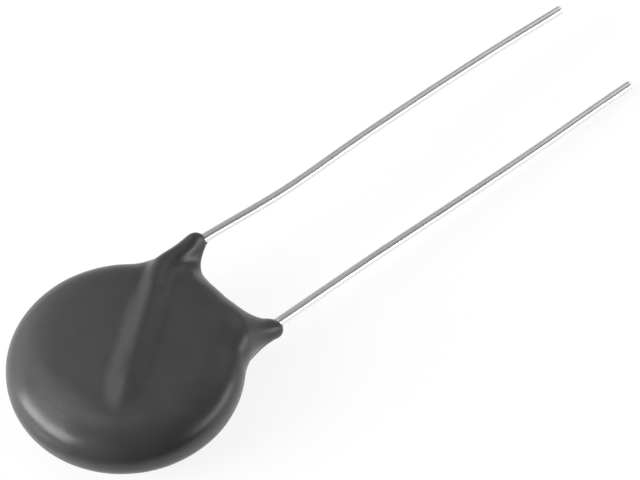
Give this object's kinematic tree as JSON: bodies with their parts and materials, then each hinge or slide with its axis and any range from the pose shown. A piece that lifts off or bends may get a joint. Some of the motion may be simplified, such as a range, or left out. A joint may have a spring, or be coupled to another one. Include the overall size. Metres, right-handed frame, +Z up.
{
  "type": "metal oxide varistor",
  "caption": "Radial-leaded disc varistor: epoxy-dipped ceramic disc with tapered nubs, wire ridges on its faces and straight tinned leads, lying flat.",
  "frame": {"origin": "middle of the footprint, on the surface that the part lies on", "axes": "+X along the leads from the disc towards the lead tips, +Y across both leads, +Z up through the disc's front face"},
  "size_m": [0.0519, 0.016, 0.0053],
  "materials": {
    "epoxy": "semi-gloss dip coat",
    "zinc_oxide_ceramic": "sintered, matte",
    "fired_silver": "fired silver paste, satin",
    "solder": "satin solder",
    "tinned_wire": "bright tinned copper"
  },
  "bodies": {
    "root": {"coating": "epoxy", "ceramic_disc": "zinc_oxide_ceramic", "front_electrode": "fired_silver", "back_electrode": "fired_silver", "front_solder": "solder", "back_solder": "solder", "front_lead": "tinned_wire", "back_lead": "tinned_wire"}
  },
  "joints": []
}
